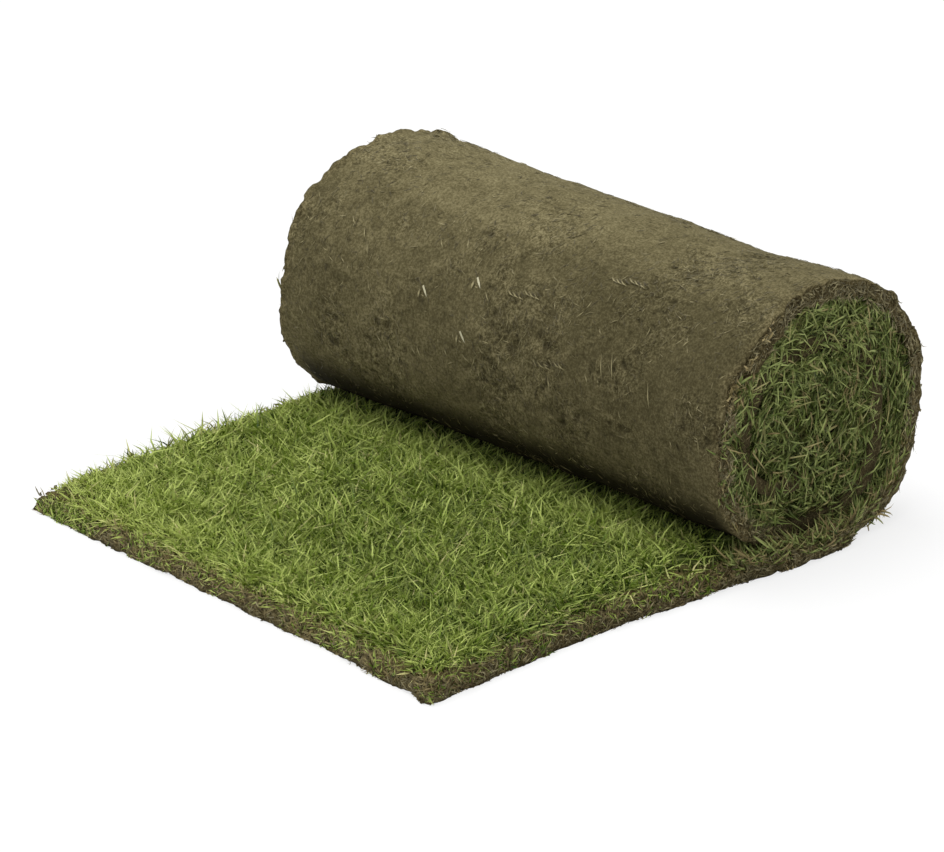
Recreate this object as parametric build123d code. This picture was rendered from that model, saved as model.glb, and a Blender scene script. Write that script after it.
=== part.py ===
from build123d import *
import os

# Roll of turf, partly unrolled: a strip of soil and roots with grass on its upper side.
# X runs along the roll, the loose tongue points to -Y and +Z is up.
# The origin is on the floor, under the middle of the whole roll and tongue.
# All sizes are in millimetres.

# The strip
strip_width = 610.0
soil_thickness = 16.5
grass_height = 21.0
cut_edge_recess = 6.0
grass_edge_lean = 7.0

# The roll, measured over the soil of its outer turn
roll_depth = 298.0
roll_height = 277.0

# Shape of a turn: how far each rounded corner reaches along the turn's depth and rises
# up its height, as shares of them, with short flats between the corners
lower_back_reach = 0.403
upper_back_reach = 0.504
lower_front_reach = 0.342
upper_back_rise = 0.552
upper_front_rise = 0.588
back_flat = 9.0
top_flat = 4.5
front_flat = 8.5
turns = 2
tail_length = 18.0

# Depth of the grass pressed between one turn and the next
grass_under_roll = 4.5
grass_at_bottom = 30.0
grass_at_back = 36.5
grass_at_top = 34.5
grass_at_front = 20.5

# The tongue, from the front of the roll to its cut end
tongue_length = 354.0
tip_skew = 26.0
near_edge_bow = 7.0
near_edge_bow_share = 0.6
far_edge_bow = 3.0
tip_bow = 4.0

half_width = strip_width / 2
overall_depth = roll_depth + tongue_length + tip_skew
back_wall = overall_depth / 2
front_wall = back_wall - roll_depth
tongue_tip = front_wall - tongue_length


def bottom_of(turn):
    """Height of the outer face of a turn where it lies on the turn below."""
    if turn == 0:
        return 0.0
    first_rise = soil_thickness + grass_under_roll
    return first_rise + (turn - 1) * (soil_thickness + grass_at_bottom)


def turn_corners(turn):
    """Centre, half axes and first angle of the four rounded corners of one turn's outer face."""
    back = back_wall - turn * (soil_thickness + grass_at_back)
    top = roll_height - turn * (soil_thickness + grass_at_top)
    front = front_wall + turn * (soil_thickness + grass_at_front)
    bottom = bottom_of(turn)
    next_bottom = bottom_of(turn + 1)

    depth = back - front
    top_corners = depth - top_flat
    back_corners = top - bottom - back_flat
    front_corners = top - next_bottom - front_flat

    lower_back = (depth * lower_back_reach, back_corners * (1 - upper_back_rise))
    upper_back = (top_corners * upper_back_reach, back_corners * upper_back_rise)
    upper_front = (top_corners * (1 - upper_back_reach), front_corners * upper_front_rise)
    lower_front = (depth * lower_front_reach, front_corners * (1 - upper_front_rise))

    return [
        ((back - lower_back[0], bottom + lower_back[1]), lower_back, 270),
        ((back - upper_back[0], top - upper_back[1]), upper_back, 0),
        ((front + upper_front[0], top - upper_front[1]), upper_front, 90),
        ((front + lower_front[0], next_bottom + lower_front[1]), lower_front, 180),
    ]


def turn_arcs(turn, depth):
    """Rounded corners of one turn, at a depth below the outer face of its soil."""
    return [
        EllipticalCenterArc(centre, reach - depth, rise - depth, first_angle, arc_size=90)
        for centre, (reach, rise), first_angle in turn_corners(turn)
    ]


def spiral_arcs(depth):
    """Rounded corners of every turn, from the outside of the roll to its middle."""
    return [arc for turn in range(turns) for arc in turn_arcs(turn, depth)]


def spiral_edges(depth, start, end):
    """The whole spiral from the start to the end point, arcs joined by flats."""
    edges = []
    last_point = start
    for arc in spiral_arcs(depth):
        edges.append(Line(last_point, arc @ 0))
        edges.append(arc)
        last_point = arc @ 1
    edges.append(Line(last_point, end))
    return edges


def soil_section():
    """Section of the soil from the front of the roll to the end of the strip."""
    tail = spiral_arcs(0)[-1] @ 1 + Vector(tail_length, 0)
    tail_top = tail + Vector(0, soil_thickness)
    outer_start = Vector(front_wall, 0)
    inner_start = Vector(front_wall, soil_thickness)
    edges = spiral_edges(0, outer_start, tail)
    edges += spiral_edges(soil_thickness, inner_start, tail_top)
    edges += [Line(tail, tail_top), Line(outer_start, inner_start)]
    return make_face(edges)


def roll_outline():
    """Everything inside the outer turn, down to the floor."""
    arcs = turn_arcs(0, 0)
    start = arcs[0] @ 0
    end = arcs[-1] @ 1
    foot = Vector(end.X, 0)
    flats = [Line(before @ 1, after @ 0) for before, after in zip(arcs, arcs[1:])]
    return make_face(arcs + flats + [Line(end, foot), Line(foot, start)])


def grass_section():
    """Grass that fills the roll between its turns and the wedge in front of it."""
    wedge_back = (turn_arcs(0, 0)[-1] @ 1).X
    wedge_middle = Pos((front_wall + wedge_back) / 2, soil_thickness + grass_height / 2)
    wedge = wedge_middle * Rectangle(wedge_back - front_wall, grass_height)
    return roll_outline() + wedge - soil_section()


def tongue_outline(recess):
    """Plan of the tongue with its gently bowed edges, drawn in from them by the recess."""
    side = half_width - recess
    tip = tongue_tip + recess
    near_tip = (side, tip - tip_skew)
    far_tip = (-side, tip + tip_skew)
    near_middle = (
        side - near_edge_bow,
        front_wall + near_edge_bow_share * (near_tip[1] - front_wall),
    )
    far_middle = (far_edge_bow - side, (front_wall + far_tip[1]) / 2)
    near_edge = Spline((side, front_wall), near_middle, near_tip)
    tip_edge = ThreePointArc(near_tip, (0, tip + tip_bow), far_tip)
    far_edge = ThreePointArc(far_tip, far_middle, (-side, front_wall))
    root = Line((-side, front_wall), (side, front_wall))
    return make_face([near_edge, tip_edge, far_edge, root])


def along_roll(section, half_length):
    """A section drawn in Y and Z, drawn out to both sides along the roll."""
    return extrude(Plane.YZ * section, half_length, both=True)


def soil_mat():
    roll = along_roll(soil_section(), half_width)
    tongue = extrude(tongue_outline(0), soil_thickness)
    return roll + tongue


def grass_sward():
    roll = along_roll(grass_section(), half_width - cut_edge_recess)
    foot = Pos(0, 0, soil_thickness) * tongue_outline(cut_edge_recess)
    tips = Pos(0, 0, soil_thickness + grass_height) * tongue_outline(
        cut_edge_recess + grass_edge_lean
    )
    return roll + loft([foot, tips], ruled=True)


os.makedirs("parts", exist_ok=True)
export_step(soil_mat(), "parts/soil_mat.step")
export_step(grass_sward(), "parts/grass_sward.step")
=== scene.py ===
import bpy
import math
import numpy as np
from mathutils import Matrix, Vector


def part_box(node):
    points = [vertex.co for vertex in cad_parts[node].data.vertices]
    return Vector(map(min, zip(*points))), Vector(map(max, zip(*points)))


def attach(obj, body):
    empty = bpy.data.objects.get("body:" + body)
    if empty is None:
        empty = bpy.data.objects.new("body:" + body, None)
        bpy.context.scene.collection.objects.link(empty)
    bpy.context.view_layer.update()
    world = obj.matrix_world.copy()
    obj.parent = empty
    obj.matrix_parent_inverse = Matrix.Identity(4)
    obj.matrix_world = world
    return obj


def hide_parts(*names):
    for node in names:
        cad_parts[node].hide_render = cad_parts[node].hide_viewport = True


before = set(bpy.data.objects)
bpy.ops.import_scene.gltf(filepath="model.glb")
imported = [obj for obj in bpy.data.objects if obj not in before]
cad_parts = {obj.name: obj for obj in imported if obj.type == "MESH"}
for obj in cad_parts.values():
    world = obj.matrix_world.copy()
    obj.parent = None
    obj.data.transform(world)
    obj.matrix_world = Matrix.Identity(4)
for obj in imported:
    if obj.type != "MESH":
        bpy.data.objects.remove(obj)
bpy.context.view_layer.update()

# Metres, in the model's own frame: X along the roll, the tongue towards -Y, Z up
soilLow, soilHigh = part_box("soil_mat")
grassLow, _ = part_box("grass_sward")
halfWidth, backWall, rollHeight = soilHigh
soilDepth = grassLow[2] - soilLow[2]

# The strip in plan, from the front of the roll to the cut end of the tongue
turf = {
    "rollDepth": 0.298, "tongueLength": 0.354, "tipSkew": 0.026, "tipBow": 0.004, "tipWave": 0.0024,
    "farCornerCut": 0.002, "nearBow": 0.0065, "farBow": 0.003,
    "heel": 0.006,  # how far the near edge stands out where the roll begins
    "heelReach": 0.42, "underBulge": 0.011,
    "cornerSink": 0.38,  # how low the far corner of the tip lies, as a share of the soil
    "spread": 0.026,  # how far grass and soil may hang out past the cut ends
}
frontWall = backWall - turf["rollDepth"]

# Turns of the roll: grass pressed between them, flats, and reach and rise of the corners as shares
turnShape = {
    "pressedUnder": 0.0045, "pressedBottom": 0.030, "pressedBack": 0.0365, "pressedTop": 0.0345,
    "pressedFront": 0.0205, "topFlat": 0.0045, "backFlat": 0.009, "frontFlat": 0.0085,
    "corners": [(0.403, 0.448), (0.504, 0.552), (0.496, 0.588), (0.342, 0.412)], "tail": 0.018, "turns": 2,
}

alongRoll, up = np.array([1.0, 0.0, 0.0]), np.array([0.0, 0.0, 1.0])
fullTurn = 2 * math.pi


# Three columns side by side, where a single number fills its column
def vectors(x, y, z):
    return np.stack(np.broadcast_arrays(x, y, z), axis=1)


def unit(ways):
    return ways / np.maximum(np.linalg.norm(ways, axis=1, keepdims=True), 1e-9)


# Direction that adds up several ways, each by its own amount
def blend(*terms):
    return unit(sum(ways * np.reshape(amount, (-1, 1)) for ways, amount in terms))


def randomWays(rng, count):
    return unit(rng.normal(size=(count, 3)))


# Level ways at each heading, and the ways to their left
def levelWays(heading):
    cos, sin = np.cos(heading), np.sin(heading)
    return vectors(cos, sin, 0), vectors(-sin, cos, 0)


# From 0 at low to 1 at high, easing in and out; low may be the greater
def fade(low, high, values):
    t = np.clip((values - low) / (high - low), 0, 1)
    return t * t * (3 - 2 * t)


def endName(side):
    return "Near" if side > 0 else "Far"


# Numbers from 0 to 1 for the points of a lattice of whole numbers
def hashLattice(ix, iy, iz, seed):
    h = (ix * 73856093) ^ (iy * 19349663) ^ (iz * 83492791) ^ (seed * 2654435761)
    h = h & 0xFFFFFFFF
    h = ((h ^ (h >> 15)) * 2246822519) & 0xFFFFFFFF
    h = ((h ^ (h >> 13)) * 3266489917) & 0xFFFFFFFF
    return ((h ^ (h >> 16)) & 0xFFFFFF) / float(0xFFFFFF)


# Noise from -1 to 1 that changes over about one cell
def smoothNoise(points, cell, seed):
    scaled = np.asarray(points) / cell
    base = np.floor(scaled)
    part = scaled - base
    part = part * part * (3 - 2 * part)
    base = base.astype(np.int64)
    total = np.zeros(len(scaled))
    for corner in np.ndindex(2, 2, 2):
        x, y, z = np.where(corner, part, 1 - part).T
        total += x * y * z * hashLattice(*(base + corner).T, seed)
    return total * 2 - 1


def roughNoise(points, cell, octaves, seed):
    return sum(0.55 ** k * smoothNoise(points, cell / 2 ** k, seed + 31 * k) for k in range(octaves))


# Sum of noises, each given by its amount, cell and seed
def layeredNoise(points, layers):
    return sum(amount * smoothNoise(points, cell, seed) for amount, cell, seed in layers)


def lineNoise(values, cell, seed):
    return smoothNoise(vectors(values, 0, 0), cell, seed)


# Noise round the edge of the tongue, the same for every piece that lies there
def edgeNoise(x, y, cell, seed):
    return lineNoise(x * 3 + y * 2, cell, seed)


def addObject(name, data):
    item = bpy.data.objects.new(name, data)
    bpy.context.scene.collection.objects.link(item)
    return item


# One mesh object from arrays; faces is a list of arrays with 3 or 4 corners a row
def makePiece(name, vertices, faces, material, colours, smooth=True):
    mesh = bpy.data.meshes.new(name)
    corners = np.concatenate([f.ravel() for f in faces]).astype(np.int32)
    sizes = np.concatenate([np.full(len(f), f.shape[1]) for f in faces]).astype(np.int32)
    starts = np.concatenate([[0], np.cumsum(sizes)[:-1]]).astype(np.int32)
    vertices = np.array(vertices, dtype=np.float32)
    reach = halfWidth + turf["spread"]
    vertices[:, 0] = np.clip(vertices[:, 0], -reach, reach)
    vertices[:, 2] = np.maximum(vertices[:, 2], 0.0002)  # just clear of the floor
    mesh.vertices.add(len(vertices))
    mesh.vertices.foreach_set("co", vertices.ravel())
    mesh.loops.add(len(corners))
    mesh.loops.foreach_set("vertex_index", corners)
    mesh.polygons.add(len(sizes))
    mesh.polygons.foreach_set("loop_start", starts)
    mesh.update(calc_edges=True)
    mesh.validate()
    mesh.polygons.foreach_set("use_smooth", np.full(len(sizes), smooth))
    layer = mesh.attributes.new("tint", "FLOAT_COLOR", "POINT")
    layer.data.foreach_set("color", np.asarray(colours, dtype=np.float32).ravel())
    mesh.materials.append(material)
    piece = addObject(name, mesh)
    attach(piece, "root")
    print(name, "triangles", int((sizes - 2).sum()))
    return piece


def gridFaces(rows, columns):
    r, c = np.meshgrid(np.arange(rows - 1), np.arange(columns - 1), indexing="ij")
    corner = (r * columns + c).ravel()
    return np.stack([corner, corner + 1, corner + columns + 1, corner + columns], axis=1)


# Centre, half axes and first angle of the four rounded corners of a turn, as in the model
def turnCorners(turn):
    shape = turnShape
    back = backWall - turn * (soilDepth + shape["pressedBack"])
    top = rollHeight - turn * (soilDepth + shape["pressedTop"])
    front = frontWall + turn * (soilDepth + shape["pressedFront"])
    bottoms = [0.0, soilDepth + shape["pressedUnder"]]
    bottoms.append(bottoms[1] + soilDepth + shape["pressedBottom"])
    depth = back - front
    across = depth - shape["topFlat"]
    backRise = top - bottoms[turn] - shape["backFlat"]
    frontRise = top - bottoms[turn + 1] - shape["frontFlat"]
    walls = [
        (back, -1, bottoms[turn], 1, depth, backRise), (back, -1, top, -1, across, backRise),
        (front, 1, top, -1, across, frontRise), (front, 1, bottoms[turn + 1], 1, depth, frontRise)]
    corners = []
    for number, (wall, inward, level, upward, width, height) in enumerate(walls):
        reach, rise = width * shape["corners"][number][0], height * shape["corners"][number][1]
        first = (270 + 90 * number) % 360
        corners.append((wall + inward * reach, level + upward * rise, (reach, rise), first))
    return corners


# Outer face of the soil, from below the front of the roll to the strip's hidden end
def buildSpiral(step=0.0005):
    points = [(frontWall, 0.0)]
    for turn in range(turnShape["turns"]):
        for y, z, (reach, rise), first in turnCorners(turn):
            for angle in np.radians(np.linspace(first, first + 90, 60)):
                points.append((y + reach * math.cos(angle), z + rise * math.sin(angle)))
    points.append((points[-1][0] + turnShape["tail"], points[-1][1]))
    points = np.array(points)
    length = np.concatenate([[0], np.cumsum(np.linalg.norm(np.diff(points, axis=0), axis=1))])
    along = np.arange(0, length[-1], step)
    y = np.interp(along, length, points[:, 0])
    z = np.interp(along, length, points[:, 1])
    ty, tz = np.gradient(y), np.gradient(z)
    size = np.hypot(ty, tz)
    return {"along": along, "y": y, "z": z, "ny": tz / size, "nz": -ty / size}


spiral = buildSpiral()
spiralLength = spiral["along"][-1]
# Distance along the strip at which the outer turn is back at the bottom
outerTurn = spiral["along"][np.argmax((spiral["along"] > 0.5) & (spiral["z"] < 0.0215))]


# Y, Z and outward normal at a distance along the strip and a depth below its outer face
def onSpiral(along, depth):
    y, z, ny, nz = (np.interp(along, spiral["along"], spiral[key]) for key in ("y", "z", "ny", "nz"))
    return y - ny * depth, z - nz * depth, ny, nz


# Points on the roll, with their outward normals and the ways along the strip
def onStrip(x, along, depth):
    y, z, ny, nz = onSpiral(along, depth)
    return vectors(x, y, z), vectors(0, ny, nz), vectors(0, -nz, ny)


# Plan place on the tongue: across from -1 to 1, reach from 0 at the roll to 1 at the tip
def onTongue(across, reach):
    bowShape = np.sin(np.pi * np.clip(reach, 0, 1) ** 0.85)
    bow = np.where(across > 0, turf["nearBow"], turf["farBow"]) * bowShape
    length = turf["tongueLength"] + turf["tipSkew"] * across - turf["tipBow"] * (1 - across ** 2)
    length = length - turf["tipWave"] * np.sin(np.pi * across)
    length = length - turf["farCornerCut"] * fade(-0.6, -1.0, across)
    y = frontWall - length * reach
    under = fade(0.0, 0.10, y - frontWall) * fade(0.30, 0.18, y - frontWall)
    heel = turf["underBulge"] * under + turf["heel"] * fade(turf["heelReach"], 0.0, reach)
    return across * (halfWidth - bow) + np.where(across > 0, heel, 0.0) * across ** 4, y


# The far corner of the tip lies lower than the rest
def cornerSink(across, reach):
    share = fade(-0.72, -0.98, across) * fade(0.86, 0.99, reach)
    return turf["cornerSink"] * soilDepth * share


# Height of the underside of the roll, for the grass that runs in below it
def underRoll(y):
    middleY, middleZ, (reach, rise), _ = turnCorners(0)[3]
    inside = np.clip((y - middleY) / reach, -1, 0)
    return np.where(y > frontWall, middleZ - rise * np.sqrt(1 - inside ** 2), 1.0)


# Random places round the tongue, by the near side's share and both sides' share; the rest is on the tip
def aroundTongue(rng, count, nearShare, sidesShare, firstReach, tipSpan=(-1.0, 1.0), margin=0.0):
    which = rng.random(count)
    onSide = which < sidesShare
    side = np.where(which < nearShare, 1.0, -1.0)
    inset = rng.random(count) * margin if margin else 0.0
    across = np.where(onSide, side * (1 - inset / halfWidth), rng.uniform(*tipSpan, count))
    reach = np.where(onSide, rng.uniform(firstReach, 1.0, count), 1 - inset / turf["tongueLength"])
    facing = vectors(side * onSide, -1.0 * ~onSide, 0)
    return across, reach, facing, side, onSide


# Display colour 0-255 to the linear colour that a shader takes
def linear(r, g, b):
    shares = [value / 255 for value in (r, g, b)]
    return (*[c / 12.92 if c <= 0.04045 else ((c + 0.055) / 1.055) ** 2.4 for c in shares], 1.0)


# New shader node with some of its inputs set
def addNode(tree, kind, **values):
    node = tree.nodes.new("ShaderNode" + kind)
    for name, value in values.items():
        node.inputs[name].default_value = value
    return node


def newMaterial(name, roughness, specular):
    material = bpy.data.materials.new(name)
    material.use_nodes = True
    shader = material.node_tree.nodes["Principled BSDF"]
    shader.inputs["Roughness"].default_value = roughness
    shader.inputs["Specular IOR Level"].default_value = specular
    return material, material.node_tree, shader


def noiseNode(tree, scale, detail, rough=0.6):
    place = addNode(tree, "TexCoord")
    noise = addNode(tree, "TexNoise", Scale=scale, Detail=detail, Roughness=rough)
    tree.links.new(place.outputs["Object"], noise.inputs["Vector"])
    return noise.outputs["Fac"]


def tintNode(tree):
    attribute = addNode(tree, "Attribute")
    attribute.attribute_name = "tint"
    parts = addNode(tree, "SeparateColor")
    tree.links.new(attribute.outputs["Color"], parts.inputs["Color"])
    return *(parts.outputs[name] for name in ("Red", "Green", "Blue")), attribute.outputs["Alpha"]


def rampNode(tree, source, positions, colours):
    ramp = addNode(tree, "ValToRGB")
    elements = ramp.color_ramp.elements
    elements[0].position, elements[0].color = positions[0], colours[0]
    elements[1].position, elements[1].color = positions[-1], colours[-1]
    for position, colour in zip(positions[1:-1], colours[1:-1]):
        elements.new(position).color = colour
    tree.links.new(source, ramp.inputs["Fac"])
    return ramp.outputs["Color"]


def mixNode(tree, kind, factor, first, second):
    mix = addNode(tree, "Mix")
    mix.data_type = "RGBA"
    mix.blend_type = kind
    sockets = [mix.inputs["Factor"], *(socket for socket in mix.inputs if socket.type == "RGBA")]
    for socket, value in zip(sockets, (factor, first, second)):
        if isinstance(value, (float, tuple)):
            socket.default_value = value
        else:
            tree.links.new(value, socket)
    return [socket for socket in mix.outputs if socket.type == "RGBA"][0]


def bumpNode(tree, shader, heights):
    target = shader.inputs["Normal"]
    for source, strength, distance in reversed(heights):
        bump = addNode(tree, "Bump", Strength=strength, Distance=distance)
        tree.links.new(source, bump.inputs["Height"])
        tree.links.new(bump.outputs["Normal"], target)
        target = bump.inputs["Normal"]


white = (1.0, 1.0, 1.0, 1.0)
black = (0.0, 0.0, 0.0, 1.0)

# Dark, middle and light of the skin, the fresh cuts and the paler cut colours under dry, which are painted
# light on the cut faces at the tip and the near foot, the shades over them, and the colour of the pits and of
# painted shade
soilLook = {
    "skin": (linear(78, 71, 46), linear(114, 106, 75), linear(152, 143, 108)),
    "cut": (linear(42, 36, 22), linear(92, 82, 54), linear(146, 134, 98)),
    "dry": (linear(58, 52, 34), linear(118, 107, 74), linear(174, 162, 122)),
    "shades": (linear(176, 175, 168), linear(224, 223, 220), white),
    "pitsAndShade": linear(36, 32, 18),
    "skinStops": (0.37, 0.49, 0.60), "cutStops": (0.34, 0.50, 0.68),
}


# Earth: red of tint is the mottling with painted light and shade, green the pits and painted shade (gap under
# the roll, foot of cut faces, inner turn), blue the freshly cut faces; alpha is the fibrous patches on the
# skin and painted light on the cut faces
def makeSoilMaterial():
    material, tree, shader = newMaterial("soilEarth", 0.95, 0.1)
    mottleAndPaintedLight, pits, cut, fibrousAndLitFaces = tintNode(tree)
    fine = noiseNode(tree, 380, 6, 0.72)
    grain = noiseNode(tree, 900, 3, 0.7)
    skin = rampNode(tree, fine, soilLook["skinStops"], soilLook["skin"])
    skin = mixNode(tree, "MIX", fibrousAndLitFaces, soilLook["skin"][1], skin)
    face = rampNode(tree, fine, soilLook["cutStops"], soilLook["cut"])
    # Paler cut-face colours: painted light on the lit cut faces
    paintedLitFace = rampNode(tree, fine, soilLook["cutStops"], soilLook["dry"])
    face = mixNode(tree, "MIX", fibrousAndLitFaces, face, paintedLitFace)
    colour = mixNode(tree, "MIX", cut, skin, face)
    # Multiplier from the mottling, which carries painted light on the top and painted shade on the front and
    # near end
    shade = rampNode(tree, mottleAndPaintedLight, (0.0, 0.5, 1.0), soilLook["shades"])
    colour = mixNode(tree, "MULTIPLY", 1.0, colour, shade)
    # Pit colour, also laid on as painted shade
    colour = mixNode(tree, "MIX", pits, colour, soilLook["pitsAndShade"])
    tree.links.new(colour, shader.inputs["Base Color"])
    bumpNode(tree, shader, [(fine, 0.6, 0.0014), (grain, 0.45, 0.0006)])
    return material


# Blades: red of tint picks the green, green runs from root to tip, blue is dryness
def makeBladeMaterial(name, look):
    material, tree, shader = newMaterial(name, 0.6, 0.25)
    dark, middle, light, root, tip, straw = (linear(*colour) for colour in look)
    choice, height, dryness, _ = tintNode(tree)
    green = rampNode(tree, choice, (0.0, 0.5, 1.0), (dark, middle, light))
    atRoot = rampNode(tree, height, (0.0, 0.5), (white, black))
    green = mixNode(tree, "MIX", atRoot, green, root)
    atTip = rampNode(tree, height, (0.5, 1.0), (black, (0.55, 0.55, 0.55, 1.0)))
    green = mixNode(tree, "MIX", atTip, green, tip)
    dry = rampNode(tree, dryness, (0.60, 0.80), (black, white))
    colour = mixNode(tree, "MIX", dry, green, straw)
    shade = rampNode(tree, noiseNode(tree, 420, 2), (0.3, 0.7), (linear(222, 222, 214), white))
    tree.links.new(mixNode(tree, "MULTIPLY", 0.8, colour, shade), shader.inputs["Base Color"])
    return material


thatchLook = {
    "brown": (linear(34, 29, 14), linear(82, 71, 42), linear(122, 108, 70)),
    "green": (linear(26, 32, 10), linear(52, 62, 24), linear(92, 98, 48)),
    "stops": (0.32, 0.50, 0.70),
}


# Felt of dead stems between blades and soil: red of tint runs from brown to green
def makeThatchMaterial():
    material, tree, shader = newMaterial("thatchFelt", 0.95, 0.1)
    choice, _, _, _ = tintNode(tree)
    fine = noiseNode(tree, 260, 5, 0.7)
    brown = rampNode(tree, fine, thatchLook["stops"], thatchLook["brown"])
    green = rampNode(tree, fine, thatchLook["stops"], thatchLook["green"])
    tree.links.new(mixNode(tree, "MIX", choice, brown, green), shader.inputs["Base Color"])
    bumpNode(tree, shader, [(fine, 0.8, 0.002)])
    return material


# Colours of blades and fibres: dark, middle and light, then root, tip and straw
bladeLooks = {
    "lawnBlade": [
        (43, 71, 1), (108, 137, 16), (190, 206, 110), (38, 50, 2), (194, 204, 118), (202, 197, 134)],
    "pressedBlade": [
        (38, 54, 9), (88, 106, 40), (164, 176, 104), (66, 72, 28), (150, 158, 94), (172, 152, 108)],
    "deadStem": [
        (74, 63, 36), (112, 98, 60), (150, 138, 92), (78, 66, 40), (140, 128, 84), (168, 152, 108)],
    "rootFibre": [
        (60, 53, 32), (106, 98, 66), (162, 152, 113), (100, 92, 62), (122, 114, 80), (196, 190, 160)],
}

soilMaterial = makeSoilMaterial()
thatchMaterial = makeThatchMaterial()
lawnMaterial, pressedMaterial, deadMaterial, rootMaterial = (
    makeBladeMaterial(name, look) for name, look in bladeLooks.items())


# Soil skin: the outer turn and the underside; a dip is a place along the roll, its width and its depth
soilSkin = {
    "frontStep": 0.0019, "backStep": 0.0033, "lumps": 0.0017, "knobs": 0.0009, "grain": 0.0008,
    "pits": 0.0015, "waist": 0.0014,
    "dips": [(0.165, 0.065, 0.0062), (-0.12, 0.05, 0.0024), (-0.24, 0.03, -0.0030)],
    "lip": 0.0085, "lipY": 0.273, "lipWidth": 0.015,
}
# Mottling of the soil: how much darker or paler places are at random, painted shade towards the near end and
# on the front below the top, painted light on the top, painted shade in the gap under the roll and at the
# foot of cut faces, and where the cut faces at the tip and the near foot are painted paler as lit
skinTone = {
    "broad": [(0.16, 0.08, 301), (0.11, 0.026, 302)], "fine": [(0.26, 0.010, 303), (0.28, 0.005, 304)],
    "nearShade": 0.30, "topLight": 0.20, "frontShade": 0.22, "gapShade": 1.75, "footShade": 1.1,
    "litTip": (-0.285, -0.315), "litFoot": 0.07,
}
fibrePatches = [(1.0, 0.055, 321), (0.5, 0.022, 322)]


def fibrousPatches(points):
    return fade(-0.15, 0.45, layeredNoise(points, fibrePatches))


def pitsAt(points):
    share = 0.45 + 0.55 * fibrousPatches(points)
    narrow = smoothNoise(points * np.array([1.0, 1.0, 0.45]), 0.0042, 311)
    wide = smoothNoise(points * np.array([0.5, 1.0, 1.0]), 0.0046, 312)
    return fade(0.22, 0.75, 0.65 * narrow + 0.65 * wide) * share


# Tint of the soil at rest places; cut runs from 0 on the skin to 1 on a cut face
def soilTint(points, cut):
    x, y, z = points.T
    tone = skinTone
    patches = np.maximum(fibrousPatches(points), cut)
    mottleAndPaintedLight = 0.50 + layeredNoise(points, tone["broad"])
    mottleAndPaintedLight += layeredNoise(points, tone["fine"]) * (0.65 + 0.35 * patches)
    # Painted shade: darker towards the near end, less on cut faces
    mottleAndPaintedLight -= tone["nearShade"] * fade(-0.10, 0.28, x) * (1 - 0.8 * cut)
    # Painted light on the top of the roll and painted shade on the front below it
    paler = tone["topLight"] * fade(0.250, 0.274, z)
    shadedFront = tone["frontShade"] * fade(0.274, 0.244, z) * fade(0.10, 0.19, z) * (y < 0.19)
    mottleAndPaintedLight += (paler - shadedFront) * (1 - cut)
    pits = pitsAt(points) * (1 - 0.5 * cut)
    # Painted shade in the gap under the front of the roll, carried by the pits channel
    gap = fade(0.095, 0.056, z) * (z > 0.0175) * (y > frontWall - 0.01) * (y < 0.15)
    pits = np.maximum(pits, tone["gapShade"] * gap * fade(0.303, 0.280, np.abs(x)))
    # Painted shade along the foot of the cut faces
    pits = np.maximum(pits, tone["footShade"] * cut * fade(0.0055, 0.001, z))
    # Painted light on the cut faces by the near foot and at the tip, carried by the alpha channel
    litFoot = fade(0.0, tone["litFoot"], y - frontWall) * (x > 0.2) * fade(0.05, 0.02, z)
    dry = np.maximum(fade(*tone["litTip"], y) * (z < 0.022), litFoot)
    fibrousAndLitFaces = np.where(cut > 0.9, dry, 0.58 + 0.34 * patches)
    return np.stack([np.clip(mottleAndPaintedLight, 0, 1), np.clip(pits * 0.55, 0, 1), cut, fibrousAndLitFaces], axis=1)


# Cut edge of the strip; the rims list places along the strip and how far the edge stands out there
soilEdge = {
    "step": 0.0019, "rows": 9, "innerInset": 0.003, "rough": 0.0030, "rim": 0.016, "innerShade": 0.42,
    "tucks": (0.014, 0.030), "ragged": [(0.0030, 0.052, 61), (0.0018, 0.017, 62)],
    "nearRim": [
        (0, turf["heel"]), (0.06, 0.014), (0.12, 0.021), (0.16, 0.023), (0.205, 0.009), (0.27, 0.003),
        (0.32, -0.003), (0.38, 0.0), (0.44, 0.005), (0.52, 0.004), (0.60, 0.0), (0.70, 0.003),
        (0.735, 0.007), (0.765, -0.004), (0.80, 0.0)],
    "farRim": [
        (0.5, 0), (0.62, -0.005), (0.67, -0.007), (0.71, 0.004), (0.76, 0.001), (0.80, -0.004),
        (1.0, -0.005)],
}


# How far the cut end stands out or back at a place along the strip
def rimShift(along, side):
    start = fade(0.0, 0.03, along)  # the first turn goes over into the tongue's edge
    ragged = layeredNoise(vectors(along + 3 * side, 0, 0), soilEdge["ragged"])
    shift = np.interp(along, *np.transpose(soilEdge["nearRim" if side > 0 else "farRim"]))
    return start * ragged + shift if side > 0 else start * (ragged + shift)


# Shift along X of the rim on the same side as each point
def rimShiftAt(x, along):
    return np.where(x > 0, rimShift(along, 1), -rimShift(along, -1))


def soilRelief(points, normals):
    x, y, _ = points.T
    top = np.maximum(normals[:, 2], 0)
    share = 0.35 + 0.85 * fibrousPatches(points)
    out = layeredNoise(points, [(soilSkin["lumps"], 0.05, 7), (soilSkin["knobs"], 0.017, 8)])
    out += soilSkin["grain"] * share * roughNoise(points, 0.0075, 2, 9)
    out -= soilSkin["pits"] * pitsAt(points)
    out -= soilSkin["waist"] * (1 - (x / halfWidth) ** 2)
    for middle, width, drop in soilSkin["dips"]:
        out -= drop * top * np.exp(-((x - middle) / width) ** 2)
    farEdge = fade(0.030, 0.004, halfWidth + x)
    out += soilSkin["lip"] * farEdge * np.exp(-((y - soilSkin["lipY"]) / soilSkin["lipWidth"]) ** 4) * top
    return points + normals * out[:, None]


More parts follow.
